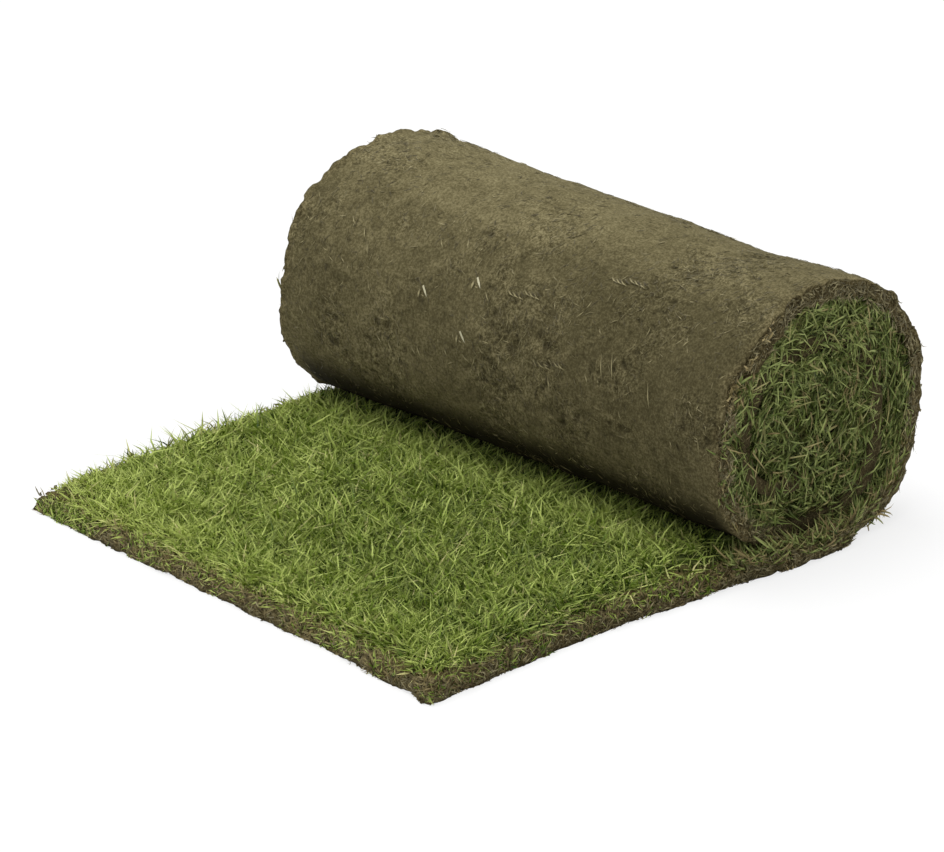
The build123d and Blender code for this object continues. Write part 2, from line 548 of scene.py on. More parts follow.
# Broken relief that leaves neighbouring pieces joined, because it is read at the rest places
def breakUp(placed, restPoints, amounts):
    out = placed.copy()
    for axis in range(3):
        seed = 41 + 101 * axis
        layers = [(0.8, 0.027, seed), (0.7, 0.010, seed + 7), (0.35, 0.0045, seed + 13)]
        out[:, axis] += amounts * layeredNoise(restPoints, layers)
    return out


# A stretch of the strip's outer face as one grid
def makeSkinPart(name, along, step):
    across = np.linspace(-1, 1, int(2 * halfWidth / step))
    faces = gridFaces(len(along), len(across))
    x = np.tile(across, len(along)) * halfWidth
    along = np.repeat(along, len(across))
    points, normals, _ = onStrip(x, along, 0.0)
    edge = fade(soilEdge["rim"], 0.0, halfWidth - np.abs(x))
    placed = breakUp(soilRelief(points, normals), points, edge * soilEdge["rough"])
    placed[:, 0] += rimShiftAt(x, along) * fade(0.80, 1.0, np.abs(x) / halfWidth)
    return makePiece(name, placed, [faces], soilMaterial, soilTint(points, 0.45 * edge))


def makeSoilSkin():
    floorEnd, split = 0.170, 0.52  # places along the strip where the grid's step changes
    under = np.linspace(0, floorEnd, 40)[:-1]
    back = np.arange(floorEnd, split + 0.003, soilSkin["backStep"])
    front = np.arange(split, outerTurn + 0.02, soilSkin["frontStep"])
    skin = makeSkinPart("soilSkinFront", front, soilSkin["frontStep"])
    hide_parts("soil_mat")
    makeSkinPart("soilSkinBack", np.concatenate([under, back]), soilSkin["backStep"])


# The turns on the ends of the roll; the first and last row tuck in below the skin and the grass
def makeSoilEdge(side):
    along = np.arange(0, spiralLength, soilEdge["step"])
    shares = np.concatenate([[0.25], np.linspace(0, 1, soilEdge["rows"]), [1]])
    insets = np.concatenate([[soilEdge["tucks"][0]], np.zeros(soilEdge["rows"]), [soilEdge["tucks"][1]]])
    inner = fade(outerTurn - 0.05, outerTurn + 0.05, along)
    recess = inner * soilEdge["innerInset"] * (1.0 + 0.4 * lineNoise(along, 0.06, 71))
    thick = soilDepth * (1 + 0.25 * lineNoise(along + 5 * side, 0.05, 72))
    thick *= 1 - 0.25 * fade(0.28, 0.36, along) * fade(0.52, 0.44, along)  # at the back
    thick *= 1 + 0.40 * fade(0.56, 0.64, along) * fade(0.86, 0.76, along)  # over the top
    rows, normals = [], []
    for number, (share, inset) in enumerate(zip(shares, insets)):
        row, outward, _ = onStrip(side * (halfWidth - inset), along, share * thick)
        rows.append(row)
        normals.append(outward * (number == 1))
    points = np.concatenate(rows)
    placed = breakUp(soilRelief(points, np.concatenate(normals)), points, soilEdge["rough"])
    placed[:, 0] += side * np.tile(rimShift(along, side) * (1 - inner) - recess, len(shares))
    faces = gridFaces(len(shares), len(along))[:, ::1 if side > 0 else -1]
    tint = soilTint(points, np.repeat(np.where(shares > 0, 1.0, 0.5), len(along)))
    tint[:, 1] = np.maximum(tint[:, 1], soilEdge["innerShade"] * np.tile(inner, len(shares)))
    makePiece("soilEdge" + endName(side), placed, [faces], soilMaterial, tint)


# Soil of the tongue: its flat underside, its cut sides and the band under the grass
tongueSoil = {
    "sidePlaces": 190, "tipPlaces": 310, "rows": 9, "foot": 0.0052, "rough": 0.0030, "underRough": 0.0022,
    "underInsets": (0.30, 0.03), "bandInsets": (0.012, 0.025, 0.04, 0.06, 0.08, 0.11),
}


# How far the foot of a cut side stands out past its upper edge
def footShift(z, reach):
    return tongueSoil["foot"] * np.clip(1 - z / soilDepth, 0, 1) * fade(0.0, 0.10, reach)


# Points on the cut faces of the tongue at rest, and the same points on the broken soil
def onCutFace(across, reach, z, facing):
    points = vectors(*onTongue(across, reach), z) + facing * footShift(z, reach)[:, None]
    return points, breakUp(points, points, tongueSoil["rough"])


def makeTongueSoil():
    sides, tip = tongueSoil["sidePlaces"], tongueSoil["tipPlaces"]
    edgeAcross = np.concatenate([np.ones(sides), np.linspace(1, -1, tip)[1:], -np.ones(sides - 1)])
    edgeReach = np.concatenate([np.linspace(0, 1, sides), np.ones(tip - 1), np.linspace(1, 0, sides)[1:]])
    rings = [(inset, 0.0) for inset in tongueSoil["underInsets"]]
    rings += [(0.0, height) for height in np.linspace(0, 1, tongueSoil["rows"])]
    rings += [(inset, 1.0) for inset in tongueSoil["bandInsets"]]
    points = []
    for inset, height in rings:
        across = edgeAcross * (1 - inset)
        reach = edgeReach * (1 - inset * 1.7)
        x, y = onTongue(across, reach)
        foot = footShift(height * soilDepth, reach)
        x = x + foot * edgeAcross ** 7
        y = y - foot * fade(0.985, 1.0, edgeReach)
        points.append(vectors(x, y, height * (soilDepth - cornerSink(across, reach))))
    points = np.concatenate(points)
    amount = np.where(points[:, 2] > 0.0001, tongueSoil["rough"], tongueSoil["underRough"])
    faces = gridFaces(len(rings), len(edgeReach))[:, ::-1]
    tint = soilTint(points, np.ones(len(points)))
    makePiece("tongueSoil", breakUp(points, points, amount), [faces], soilMaterial, tint)


# Felt of dead stems on the tongue, below the blades
thatchFelt = {
    "rows": 110, "columns": 190, "sides": 0.990, "reach": (-0.30, 0.985), "rise": 0.004, "rough": 0.0035,
    "edgeDrop": 0.006,
}


def feltTint(green):
    return np.stack([green, green, green, np.ones(len(green))], axis=1)


def makeThatch():
    rows, columns = thatchFelt["rows"], thatchFelt["columns"]
    across = np.tile(np.linspace(-thatchFelt["sides"], thatchFelt["sides"], columns), rows)
    reach = np.repeat(np.linspace(*thatchFelt["reach"], rows), columns)
    points = vectors(*onTongue(across, reach), soilDepth + thatchFelt["rise"])
    edge = np.minimum(1 - np.abs(across), 1 - reach)
    points[:, 2] -= thatchFelt["edgeDrop"] * fade(0.07, 0.0, edge)
    points[:, 2] += thatchFelt["rough"] * roughNoise(points, 0.012, 3, 77)
    green = fade(0.02, 0.11, edge + 0.03 * roughNoise(points, 0.02, 2, 78))
    faces = gridFaces(rows, columns)[:, ::-1]
    piece = makePiece("thatchFelt", points, [faces], thatchMaterial, feltTint(green))
    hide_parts("grass_sward")


# Blades as one joined mesh: each is a bent strip that tapers to its tip; by segments, the shares of
# its length and of its width
bladeShape = {2: ((0.0, 0.55, 1.0), (0.85, 0.9, 0.0)), 3: ((0.0, 0.38, 0.74, 1.0), (0.75, 1.0, 0.72, 0.0))}


def growBlades(name, blades, material, segments=2):
    count = len(blades["roots"])
    corners = 2 * segments + 1
    rng = np.random.default_rng(len(name) + count)
    ways, lengths = blades["ways"], blades["lengths"]
    facing = rng.normal(size=(count, 3)) * blades.get("twist", 1.0) + blades.get("facing", 0.0)
    spread = unit(np.cross(ways, facing))
    vertices = np.zeros((count, corners, 3))
    colours = np.ones((count, corners, 4))
    colours[:, :, 0] = blades["greens"][:, None]
    colours[:, :, 2] = blades["dryness"][:, None]
    for level, (t, taper) in enumerate(zip(*bladeShape[segments])):
        centre = blades["roots"] + ways * (lengths * t)[:, None]
        centre = centre + blades["bends"] * (lengths * t * t)[:, None]
        half = spread * (blades["widths"] * taper * 0.5)[:, None]
        first = level * 2
        vertices[:, first] = centre - half
        colours[:, first:first + 2, 1] = t
        if level < segments:
            vertices[:, first + 1] = centre + half
    start = np.arange(count)[:, None] * corners
    quads = [start + 2 * k + np.array([[0, 1, 3, 2]]) for k in range(segments - 1)]
    tips = start + 2 * (segments - 1) + np.array([[0, 1, 2]])
    makePiece(name, vertices.reshape(-1, 3), [np.concatenate(quads), tips],
              material, colours.reshape(-1, 4))


def pickBlades(blades, chosen):
    return {key: values[chosen] if np.ndim(values) else values for key, values in blades.items()}


# Lawn on the tongue; lean is in radians, and shares are of 1
lawn = {
    "seed": 11, "blades": 112000, "pieces": 3, "length": 0.026, "width": 0.0020, "lean": 0.82,
    "tuftShare": 0.4, "longFringeShare": 0.22, "strawShare": 0.02, "green": 0.42, "greenSpread": 0.46,
    "margin": 0.0035, "marginNoise": 0.011, "leastMargin": 0.001, "heelMargin": 0.012,
}


def makeLawn():
    rng = np.random.default_rng(lawn["seed"])
    count = lawn["blades"]
    across = rng.uniform(-0.99, 0.99, count)
    reach = rng.uniform(-0.24, 0.99, count)
    x, y = onTongue(across, reach)
    roots = vectors(x, y, soilDepth - 0.001 - cornerSink(across, reach))
    edge = np.minimum((1 - np.abs(across)) * halfWidth, (1 - reach) * turf["tongueLength"])
    clump = roughNoise(roots, 0.024, 3, 5)
    heading = rng.uniform(0, fullTurn, count)
    tuftHeading = 1.1 * fullTurn * roughNoise(roots, 0.014, 2, 19)
    inTuft = rng.random(count) < lawn["tuftShare"]
    heading = np.where(inTuft, tuftHeading + rng.normal(0, 0.5, count), heading)
    lean = np.clip(rng.normal(lawn["lean"], 0.42, count), 0.0, 1.5)
    flat, sideways = levelWays(heading)
    ways = flat * np.sin(lean)[:, None] + up * np.cos(lean)[:, None]
    nearEdge = fade(0.030, 0.006, edge)
    ways[:, 0] -= 0.35 * nearEdge * np.sign(across) * (np.abs(across) > 0.9)
    ways[:, 1] += 0.35 * nearEdge * (reach > 0.92)
    bends = flat * rng.uniform(-0.3, 0.5, count)[:, None] + sideways * rng.normal(0, 0.5, count)[:, None]
    bends[:, 2] -= rng.uniform(0.0, 0.45, count)

    # Blades are short at the edges and under the roll, and a few stay long along the far edge
    lengths = lawn["length"] * rng.uniform(0.5, 1.2, count) * (1 + 0.22 * clump)
    fringe = fade(0.10, 0.30, reach) * fade(0.78, 0.62, reach) * (across < -0.8)
    fringe *= rng.random(count) < lawn["longFringeShare"]
    lengths *= 0.50 + 0.50 * np.maximum(fade(0.0, 0.030, edge), fringe)
    lengths *= 1 + (0.45 * fringe - 0.20) * fade(-0.80, -0.97, across)
    room = underRoll(y) - soilDepth
    lengths = np.minimum(lengths, np.maximum(room * 1.1, 0.004))

    # Paler towards the tops of tall blades; painted light makes them paler towards the far side, at the tip
    # and at the front of the roll, and painted shade makes them dark below the roll
    far = fade(0.2, -1.0, across) * fade(0.0, 0.5, reach)
    tall = lengths / lawn["length"] - 0.85
    green = lawn["green"] + 0.44 * far + 0.24 * clump + 0.34 * tall
    green += rng.normal(0, lawn["greenSpread"], count)
    green += 0.45 * fade(-0.045, 0.0, y - frontWall)
    green += 0.75 * fade(0.30, 0.0, 1 - reach) * (0.45 + 0.55 * fade(0.8, -0.6, across))
    green -= 0.9 * fade(0.036, 0.016, room)

    # Bare margin of soil, except at the far part of the tip, which is grown over
    margin = lawn["margin"] + lawn["marginNoise"] * edgeNoise(x, y, 0.09, 83)
    margin = lawn["leastMargin"] + margin * fade(-0.9, 0.9, across)
    margin += lawn["heelMargin"] * fade(0.12, 0.03, y - frontWall) * (across > 0.5)
    margin = np.maximum(margin, lawn["leastMargin"])
    dry = rng.random(count) * 0.64 + 0.24 * fade(0.034, 0.0, edge)
    dry = np.where(rng.random(count) < lawn["strawShare"], 0.85, dry)
    corner = np.hypot((x - halfWidth + 0.01) * 1.4, (y - frontWall - 0.01) * 0.8)
    bare = np.maximum(fade(0.085, 0.03, corner), 0.85 * fade(1.6, 0.3, edge / margin))
    keep = rng.random(count) > bare * 0.9
    blades = dict(
        roots=roots, ways=unit(ways), bends=bends, lengths=lengths,
        widths=lawn["width"] * rng.uniform(0.6, 1.25, count), greens=np.clip(green, 0, 1), dryness=dry)
    order = np.argsort(y, kind="stable")
    order = order[keep[order]]
    for number, part in enumerate(np.array_split(order, lawn["pieces"])):
        growBlades("lawn%d" % (number + 1), pickBlades(blades, part), lawnMaterial)


# Dead stems and short blades in patches along the cut edges of the tongue
edgeStems = {
    "flat": 9500, "flatSeed": 47, "hanging": 8600, "hangingSeed": 48, "length": 0.015, "width": 0.0016,
    "margin": 0.024, "drop": 0.0125, "dryness": 0.72,
}


def splitStems(name, blades, keep, greenShare, rng):
    green = rng.random(len(keep)) < greenShare
    growBlades(name + "Dead", pickBlades(blades, keep & ~green), deadMaterial)
    growBlades(name + "Green", pickBlades(blades, keep & green), lawnMaterial)


def makeFlatStems():
    rng = np.random.default_rng(edgeStems["flatSeed"])
    count = edgeStems["flat"]
    across, reach, facing, side, onSide = aroundTongue(
        rng, count, 0.46, 0.56, -0.4, (-0.99, 0.99), edgeStems["margin"])
    x, y = onTongue(across, reach)
    patches = 0.5 + 0.9 * edgeNoise(x, y, 0.055, 84)
    z = soilDepth + rng.uniform(-0.004, 0.004, count) - cornerSink(across, reach)
    flat, sideways = levelWays(rng.uniform(0, fullTurn, count))
    ways = blend(
        (flat, 1.0), (facing, rng.normal(0.0, 0.35, count) - 0.5 * (across < -0.9)),
        (up, rng.uniform(-0.1, 0.5, count)))
    bends = sideways * rng.normal(0, 0.5, count)[:, None]
    bends[:, 2] -= rng.uniform(0.0, 0.5, count)
    blades = dict(
        roots=vectors(x, y, z), ways=ways, bends=bends,
        lengths=edgeStems["length"] * rng.uniform(0.35, 1.2, count),
        widths=edgeStems["width"] * rng.uniform(0.5, 1.2, count),
        # Paler on the tip: painted light
        greens=np.clip(rng.random(count) + 0.4 * ~onSide, 0, 1),
        dryness=rng.uniform(0, edgeStems["dryness"], count))
    keep = (rng.random(count) < patches) & ((side > 0) | ~onSide | (reach > 0.3))
    keep &= (across > -0.93) | (reach < 0.82)
    farFront = fade(0.2, -0.9, across) * ~onSide
    splitStems("flatStems", blades, keep, 0.30 + 0.45 * farFront, rng)


def makeHangingStems():
    rng = np.random.default_rng(edgeStems["hangingSeed"])
    count = edgeStems["hanging"]
    across, reach, facing, _, onSide = aroundTongue(rng, count, 0.36, 0.48, -0.05, (-0.995, 1.0))
    x, y = onTongue(across, reach)
    farFront = fade(-0.45, -0.95, across) * ~onSide
    patches = 0.62 + 1.3 * edgeNoise(x, y, 0.040, 85) + 0.6 * farFront
    share = rng.random(count) ** (1.3 - 0.5 * farFront)
    drop = edgeStems["drop"] * np.clip(0.45 + 0.8 * patches, 0.3, 1.25) * share
    z = np.maximum(soilDepth + 0.002 - drop - cornerSink(across, reach), 0.0015)
    _, placed = onCutFace(across, reach, z, facing)
    along = vectors(1.0 * ~onSide, 1.0 * onSide, 0)
    tilt = rng.uniform(0, fullTurn, count)
    ways = blend(
        (along, np.cos(tilt)), (0.75 * up, np.sin(tilt)), (facing, rng.uniform(0.0, 0.35, count)))
    bends = np.cross(facing, ways) * rng.normal(0, 0.45, count)[:, None] - facing * 0.2
    blades = dict(
        roots=placed + facing * 0.0006, ways=ways, bends=bends, facing=facing, twist=0.5,
        lengths=edgeStems["length"] * rng.uniform(0.3, 1.0, count),
        widths=edgeStems["width"] * rng.uniform(0.6, 1.3, count),
        # Paler on the tip: painted light
        greens=np.clip(rng.uniform(0, 0.75, count) + 0.35 * ~onSide, 0, 1),
        dryness=rng.uniform(0, edgeStems["dryness"], count))
    keep = (rng.random(count) < patches) & ((across > -0.99) | (reach < 0.82))
    overgrown = fade(0.0, 0.5, edgeNoise(x, y, 0.07, 86))
    splitStems("hangingStems", blades, keep, 0.22 + 0.35 * overgrown + 0.50 * farFront, rng)


# Bare share of the soil edge at places along the strip: thin at the back and low down, where grass
# hangs over it
rimAlong = np.array([0.0, 0.15, 0.28, 0.46, 0.56, 0.68, 0.75, 0.84, 1.10])
bareRim = np.array([0.80, 0.55, 0.42, 0.45, 0.90, 0.95, 0.60, 0.20, 0.30]) * soilDepth


# Whether points lie inside the outer turn; depths gives the inset below its outer face along the turn
def insideOutline(y, z, depths):
    along = np.linspace(0.0, outerTurn, 400)
    oy, oz, _, _ = onSpiral(along, np.interp(along, rimAlong, depths))
    inside = np.zeros(len(y), dtype=bool)
    for y1, z1, y2, z2 in zip(oy, oz, np.roll(oy, -1), np.roll(oz, -1)):
        crosses = (z1 > z) != (z2 > z)
        if crosses.any():
            inside ^= crosses & (y < y1 + (z - z1) / (z2 - z1 + 1e-12) * (y2 - y1))
    return inside


# Felt behind the grass on the ends of the roll
endFelt = {"step": 0.0035, "inset": 0.013, "rough": 0.0045, "floorGap": 0.004}


def makeEndFelt(side):
    ys = np.arange(frontWall, backWall, endFelt["step"])
    zs = np.arange(endFelt["floorGap"], rollHeight, endFelt["step"])
    yy, zz = np.meshgrid(ys, zs)
    points = vectors(side * (halfWidth - endFelt["inset"]), yy.ravel(), zz.ravel())
    inside = insideOutline(points[:, 1], points[:, 2], bareRim * 0.5)
    green = fade(-0.1, 0.7, roughNoise(points, 0.03, 2, 95))
    points[:, 0] += side * endFelt["rough"] * roughNoise(points, 0.014, 3, 91)
    faces = gridFaces(len(zs), len(ys))[:, ::1 if side > 0 else -1]
    faces = faces[inside[faces].all(axis=1)]
    used, faces = np.unique(faces, return_inverse=True)
    makePiece("endFelt" + endName(side), points[used], [faces.reshape(-1, 4)],
              thatchMaterial, feltTint(green)[used])


# Distance from the middle of the inner turn's soil, in the plane of the ends
def fromInnerSoil(y, z):
    along = np.linspace(outerTurn, spiralLength, 260)
    bandY, bandZ, _, _ = onSpiral(along, soilDepth * 0.5)
    nearest = np.full(len(y), 9.0)
    for oneY, oneZ in zip(bandY, bandZ):
        nearest = np.minimum(nearest, np.hypot(y - oneY, z - oneZ))
    return nearest


# Grass pressed between the turns, as it shows on the ends of the roll; the near end's value is first
endGrass = {
    "counts": (21500, 9000), "seeds": (23, 29), "length": 0.026, "width": 0.0018, "inset": 0.016,
    "middleHeight": 0.48, "oneWayShare": 0.65, "floorGap": 0.012, "innerBand": (0.017, 0.011),
}


def makeEndGrass(side):
    end = 0 if side > 0 else 1
    count = endGrass["counts"][end]
    rng = np.random.default_rng(endGrass["seeds"][end])
    y = rng.uniform(frontWall, backWall, count * 2)
    z = rng.uniform(endGrass["floorGap"], rollHeight, count * 2)
    inside = insideOutline(y, z, bareRim)
    y, z = y[inside][:count], z[inside][:count]
    count = len(y)
    sunk = rng.random(count)
    roots = vectors(side * (halfWidth - endGrass["inset"] * sunk), y, z)
    fromMiddle = vectors(0, y - (frontWall + backWall) / 2, z - rollHeight * endGrass["middleHeight"])
    away = unit(fromMiddle)
    around = np.cross(away, alongRoll)
    turnWay = np.where(rng.random(count) < endGrass["oneWayShare"], 1.0, -1.0)
    clump = roughNoise(roots, 0.022, 2, 3)
    inward = rng.normal(0.20 + 0.5 * clump, 0.45, count)
    inward = np.where(insideOutline(y, z, bareRim + 0.012), inward, np.abs(inward) + 0.3)
    # The outer grass follows the turn, the core is loose
    order = fade(0.035, 0.105, np.hypot(*fromMiddle[:, 1:].T))
    loose = unit(rng.normal(size=(count, 3)) * np.array([0.3, 1, 1]))
    lined = around * turnWay[:, None] - away * inward[:, None]
    ways = lined * order[:, None] + loose * (1.15 - order)[:, None]
    ways[:, 0] = side * rng.uniform(0.0, 0.6, count)
    ways = unit(ways)
    bends = np.cross(ways, randomWays(rng, count)) * rng.uniform(0.1, 0.8, count)[:, None]
    bends -= 0.25 * order[:, None] * away
    bends[:, 0] = -side * rng.uniform(0.0, 0.55, count)
    bends[:, 2] -= 0.12
    # Darker the deeper the root is sunk, painted shade between the turns; paler high up, painted light from
    # above
    green = 0.72 - 0.42 * sunk + 0.24 * clump + rng.normal(0, 0.30, count)
    green += 0.25 * fade(0.15, 0.24, z)
    blades = dict(
        roots=roots, ways=ways, bends=bends,
        lengths=endGrass["length"] * rng.uniform(0.3, 1.05, count),
        widths=endGrass["width"] * rng.uniform(0.5, 1.2, count),
        greens=np.clip(green, 0, 1), dryness=rng.uniform(0, 0.76, count))
    # Thinner in brown patches and over the inner turn's soil, most of all low down and at the back
    brown = fade(0.0, 0.5, roughNoise(roots, 0.024, 2, 97)) * 0.75
    low = np.clip(fade(0.20, 0.12, z) + fade(0.23, 0.26, y), 0, 1)
    bareShare = 0.34 + 0.48 * low + 0.35 * roughNoise(roots, 0.03, 2, 98)
    band = fade(*endGrass["innerBand"], fromInnerSoil(y, z)) * bareShare
    keep = rng.random(count) > np.maximum(brown, band)
    if side < 0:
        keep &= (z > 0.06) | (y > frontWall + 0.12)  # clear of the lawn beside the far end
    growBlades("endGrass" + endName(side), pickBlades(blades, keep), pressedMaterial, segments=3)


# Blades and dead stems that spill from between the turns over the cut soil; the near end's value is
# first, and stretches are places along the strip, low at the back and high at the front
spilledGrass = {
    "counts": (2300, 383), "seeds": (53, 59), "length": 0.026, "width": 0.0020, "deadShare": 0.30,
    "lowShare": 0.60, "lowStretch": ((0.02, 0.34), (0.14, 0.34)), "highStretch": ((0.72, 0.97), (0.72, 0.85)),
}


def makeSpilledGrass(side):
    end = 0 if side > 0 else 1
    count = spilledGrass["counts"][end]
    rng = np.random.default_rng(spilledGrass["seeds"][end])
    low = rng.random(count) < spilledGrass["lowShare"]
    along = np.where(low, rng.uniform(*spilledGrass["lowStretch"][end], count),
                     rng.uniform(*spilledGrass["highStretch"][end], count))
    deep = np.interp(along, rimAlong, bareRim) + soilDepth * rng.uniform(-0.1, 0.9, count)
    x = side * (halfWidth + rimShift(along, side) * low - rng.uniform(0.0, 0.006, count))
    roots, normals, tangents = onStrip(x, along, deep)
    turnWay = np.where(rng.random(count) < 0.5, 1.0, -1.0)
    ways = blend(
        (normals, rng.uniform(-0.55, 0.12, count)), (tangents, turnWay * rng.uniform(0.4, 1.0, count)),
        (side * alongRoll, rng.uniform(0.1, 0.6, count)))
    bends = np.cross(ways, randomWays(rng, count)) * 0.40
    bends[:, 0] -= side * rng.uniform(0.2, 0.7, count)
    bends -= 0.25 * normals
    blades = dict(
        roots=roots, ways=ways, bends=bends,
        lengths=spilledGrass["length"] * rng.uniform(0.3, 1.0, count),
        widths=spilledGrass["width"] * rng.uniform(0.5, 1.2, count),
        # Low blades paler: painted light
        greens=np.clip(rng.normal(0.5, 0.28, count) + 0.3 * low, 0, 1), dryness=rng.uniform(0, 0.80, count))
    dead = rng.random(count) < spilledGrass["deadShare"]
    growBlades("spilledGrass" + endName(side), pickBlades(blades, ~dead), pressedMaterial, segments=3)
    growBlades("spilledStems" + endName(side), pickBlades(blades, dead), deadMaterial, segments=3)


# Bunches at the near rim: place along the strip, number, length, share of green, how far they stand out
rimTufts = {
    "seed": 61, "spread": 0.005, "widths": (0.0014, 0.0026),
    "bunches": [
        (0.766, 46, 0.015, 0.0, -0.2), (0.781, 46, 0.014, 0.1, -0.2), (0.735, 16, 0.010, 0.0, -0.2),
        (0.70, 14, 0.010, 0.1, -0.2), (0.232, 16, 0.022, 0.5, 0.45), (0.222, 10, 0.018, 0.5, 0.45),
        (0.09, 26, 0.020, 0.2, -0.2), (0.86, 20, 0.013, 1.0, -0.2), (0.83, 20, 0.013, 1.0, -0.2),
        (0.89, 16, 0.012, 0.9, -0.2)],
}


def makeRimTufts():
    rng = np.random.default_rng(rimTufts["seed"])
    bunches = np.array(rimTufts["bunches"])
    places, _, lengths, shares, outs = np.repeat(bunches, bunches[:, 1].astype(int), axis=0).T
    count = len(places)
    along = places + rng.normal(0, rimTufts["spread"], count)
    x = halfWidth + rimShift(along, 1) - 0.001
    roots, normals, tangents = onStrip(x, along, rng.uniform(0.002, 0.010, count))
    ways = blend(
        (normals, outs + rng.normal(0, 0.25, count)), (tangents, rng.normal(0, 0.8, count)),
        (alongRoll, rng.uniform(0.2, 0.8, count)))
    bends = np.cross(ways, randomWays(rng, count)) * 0.6
    bends[:, 0] -= 0.5
    blades = dict(
        roots=roots, ways=ways, bends=bends, lengths=lengths * rng.uniform(0.5, 1.1, count),
        widths=rng.uniform(*rimTufts["widths"], count), greens=rng.uniform(0.5, 1, count),
        dryness=rng.uniform(0.5, 1.0, count) * (shares < 0.6))
    green = rng.random(count) < shares
    growBlades("rimTuftsGreen", pickBlades(blades, green), pressedMaterial, segments=3)
    growBlades("rimTuftsDead", pickBlades(blades, ~green), deadMaterial, segments=3)


# Fibres on the soil skin, most of them in tufts
skinFibres = {
    "seed": 37, "tufts": 620, "perTuft": 16, "loose": 2600, "length": 0.009, "width": 0.0010,
    "firstAlong": 0.22, "alongSpread": 0.011, "acrossSpread": 0.013, "leastShare": 0.30,
}
# Pale bits of root on the skin; places are metres along the strip and along the roll, and a stroke is
# its shift from the place in both, its heading, curl, length, width and shade
paleRoots = {
    "chips": [(0.779, -0.109), (0.753, -0.045), (0.810, -0.045)],
    "chipStrokes": [
        (-0.007, -0.003, 0.78, 0.0, 0.014, 0.0025, 1.0), (-0.003, -0.0055, -0.10, 0.2, 0.009, 0.0026, 0.95),
        (0.002, -0.002, 1.3, 0.0, 0.005, 0.0013, 0.9)],
    "combs": [(0.749, 0.012), (0.806, 0.071), (0.700, 0.120)], "combTeeth": 6, "combPitch": 0.0066,
    "strands": [(0.788, 0.136), (0.785, 0.150), (0.800, 0.205)],
    "strandStroke": (-0.012, 0.0, 0.30, 0.1, 0.026, 0.0012, 0.95),
    "shortStrands": [
        (0.756, -0.201), (0.726, -0.117), (0.716, -0.085), (0.735, -0.233), (0.742, -0.213),
        (0.841, -0.161), (0.844, -0.145), (0.840, -0.113), (0.838, -0.104), (0.762, -0.030)],
}


def layFibres(name, along, x, heading, curl, lengths, widths, greens, dryness, lift=0.0003, twist=0.35):
    points, normals, tangents = onStrip(x, along, 0.0)
    flat = tangents * np.cos(heading)[:, None] + alongRoll * np.sin(heading)[:, None]
    blades = dict(
        roots=soilRelief(points, normals) + normals * lift, ways=blend((flat, 1.0), (normals, 0.05)),
        bends=np.cross(normals, flat) * curl[:, None] - normals * 0.05, facing=normals, twist=twist,
        lengths=lengths, widths=widths, greens=greens, dryness=dryness)
    growBlades(name, blades, rootMaterial)


def makeSkinFibres():
    rng = np.random.default_rng(skinFibres["seed"])
    tufts, loose, first = skinFibres["tufts"], skinFibres["loose"], skinFibres["firstAlong"]
    centreAlong = rng.uniform(first, outerTurn - 0.01, tufts)
    centreX = rng.uniform(-0.97, 0.97, tufts) * halfWidth
    lying = np.interp(centreAlong, [0.66, 0.75], [-0.8, 0.4])  # level near the top, upright lower down
    tuftHeading = np.where(rng.random(tufts) < 0.6, lying + rng.normal(0, 0.3, tufts),
                           rng.uniform(0, math.pi, tufts))
    pick = np.repeat(np.arange(tufts), skinFibres["perTuft"])
    along = centreAlong[pick] + rng.normal(0, skinFibres["alongSpread"], len(pick))
    x = centreX[pick] + rng.normal(0, skinFibres["acrossSpread"], len(pick))
    heading = tuftHeading[pick] + rng.normal(0, 0.45, len(pick))
    along = np.concatenate([along, rng.uniform(first, outerTurn - 0.01, loose)])
    x = np.concatenate([x, rng.uniform(-0.98, 0.98, loose) * halfWidth])
    heading = np.concatenate([heading, rng.uniform(0, fullTurn, loose)])
    x = np.clip(x, -0.985 * halfWidth, 0.985 * halfWidth)
    along = np.clip(along, first - 0.01, outerTurn)
    patches = fibrousPatches(onStrip(x, along, 0.0)[0])
    keep = rng.random(len(along)) < skinFibres["leastShare"] + (1 - skinFibres["leastShare"]) * patches
    count = int(keep.sum())
    layFibres("skinFibres", along[keep], x[keep], heading[keep], rng.normal(0, 0.35, count),
              skinFibres["length"] * rng.uniform(0.4, 1.3, count),
              skinFibres["width"] * rng.uniform(0.6, 1.2, count),
              rng.random(count) ** 2.2, rng.uniform(0, 0.60, count))


def makePaleRoots():
    rows = []

    def lay(places, strokes):
        for along, x in places:
            rows.extend((along + da, x + dx, *rest) for da, dx, *rest in strokes)

    lay(paleRoots["chips"], paleRoots["chipStrokes"])
    pitch = paleRoots["combPitch"]
    comb = []
    for tooth in range(paleRoots["combTeeth"]):
        offset = pitch * (tooth - (paleRoots["combTeeth"] - 1) / 2)
        start = -0.006 - 0.27 * offset
        comb.append((start + 0.002 * (tooth % 3), offset, 0.75, 0.5, 0.011, 0.0016, 0.9))
        comb.append((start + 0.001, offset + 0.42 * pitch, 0.75, 0.5, 0.010, 0.0018, 0.0))
    lay(paleRoots["combs"], comb)
    lay(paleRoots["strands"], [paleRoots["strandStroke"]])
    for number, place in enumerate(paleRoots["shortStrands"]):
        lay([place], [(-0.005, 0.0, 0.45 + 0.25 * (number % 2), 0.1, 0.012, 0.0013, 0.93)])
    columns = np.array(rows).T
    pale = np.where(columns[6] >= 1.0, 0.9, 0.3)
    layFibres("paleRoots", *columns, pale, lift=0.0012, twist=0.08)


